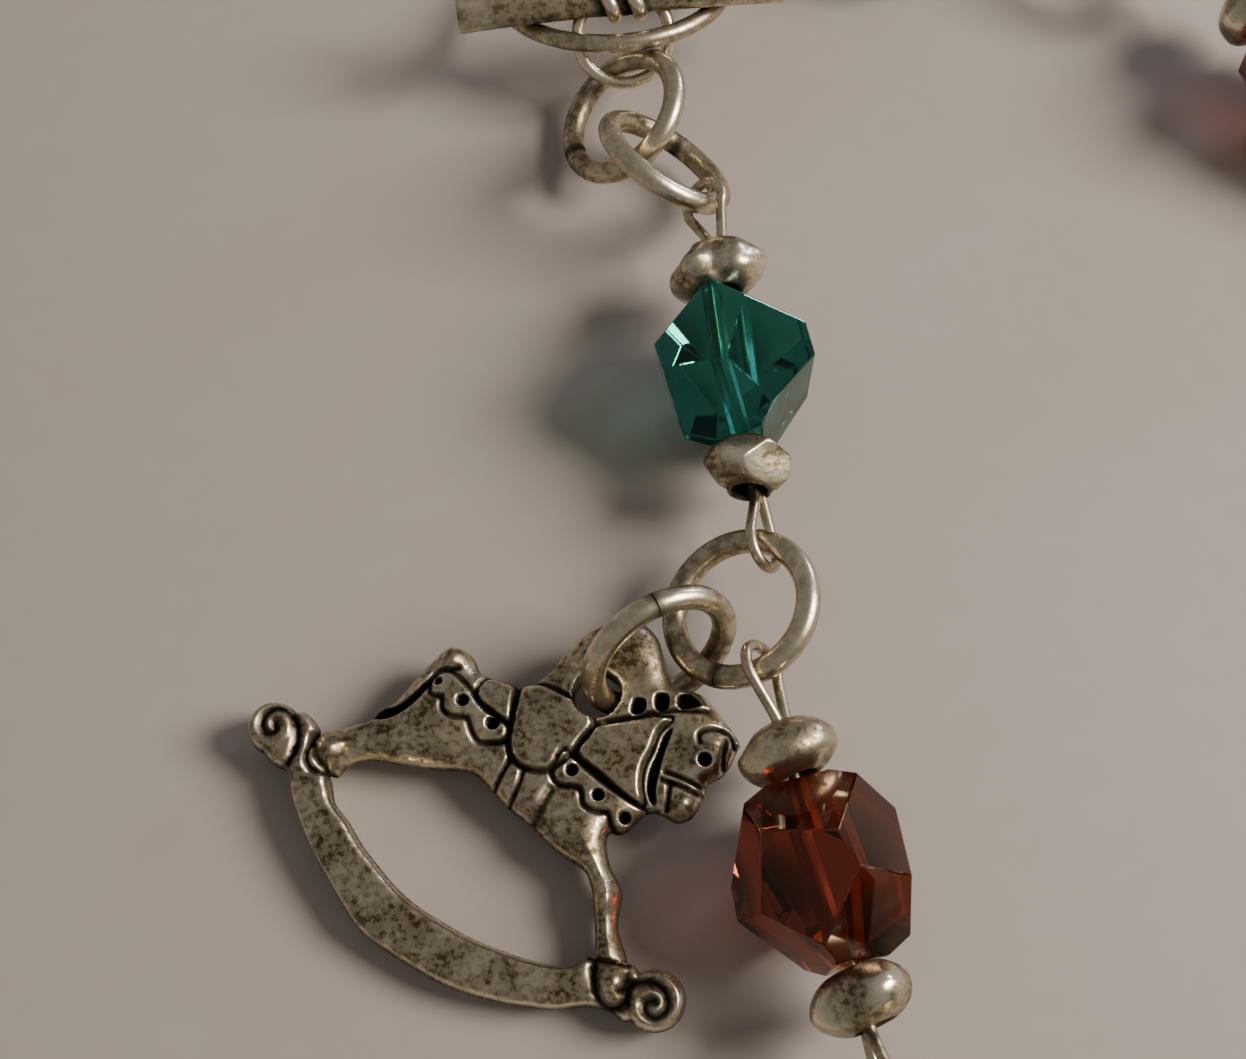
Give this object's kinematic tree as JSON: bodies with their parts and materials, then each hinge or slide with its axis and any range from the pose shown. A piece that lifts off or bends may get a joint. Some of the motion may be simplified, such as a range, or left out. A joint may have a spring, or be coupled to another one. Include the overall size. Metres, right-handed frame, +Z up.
{
  "type": "charm bracelet",
  "caption": "Bead-link charm bracelet with faceted green and red glass beads, jump rings, a toggle clasp and a cast rocking horse charm, laid closed on a surface.",
  "frame": {"origin": "bottom centre of the whole box, on the surface that the bracelet lies on", "axes": "+Z up from the surface, +X from the beads with the charm across the loop to the plain side, +Y from the charm to the clasp"},
  "size_m": [0.076, 0.0802, 0.0088],
  "materials": {
    "silver": "antiqued silver-coloured casting, bright on the edges and near black in the recesses",
    "green_glass": "polished faceted emerald glass with a faint rainbow coat",
    "red_glass": "polished faceted deep red glass with a faint rainbow coat"
  },
  "bodies": {
    "root": {"toggle_bar": "silver", "toggle_ring": "silver", "jump_ring_01": "silver", "jump_ring_02": "silver", "jump_ring_03": "silver", "jump_ring_04": "silver", "jump_ring_05": "silver", "jump_ring_06": "silver", "jump_ring_07": "silver", "jump_ring_08": "silver", "jump_ring_09": "silver", "charm_ring": "silver", "rocking_horse": "silver", "bead_01": "green_glass", "cap_01_a": "silver", "cap_01_b": "silver", "link_wire_01": "silver", "bead_02": "red_glass", "cap_02_a": "silver", "cap_02_b": "silver", "link_wire_02": "silver", "bead_03": "green_glass", "cap_03_a": "silver", "cap_03_b": "silver", "link_wire_03": "silver", "bead_04": "red_glass", "cap_04_a": "silver", "cap_04_b": "silver", "link_wire_04": "silver", "bead_05": "green_glass", "cap_05_a": "silver", "cap_05_b": "silver", "link_wire_05": "silver", "bead_06": "red_glass", "cap_06_a": "silver", "cap_06_b": "silver", "link_wire_06": "silver", "bead_07": "green_glass", "cap_07_a": "silver", "cap_07_b": "silver", "link_wire_07": "silver"}
  },
  "joints": []
}
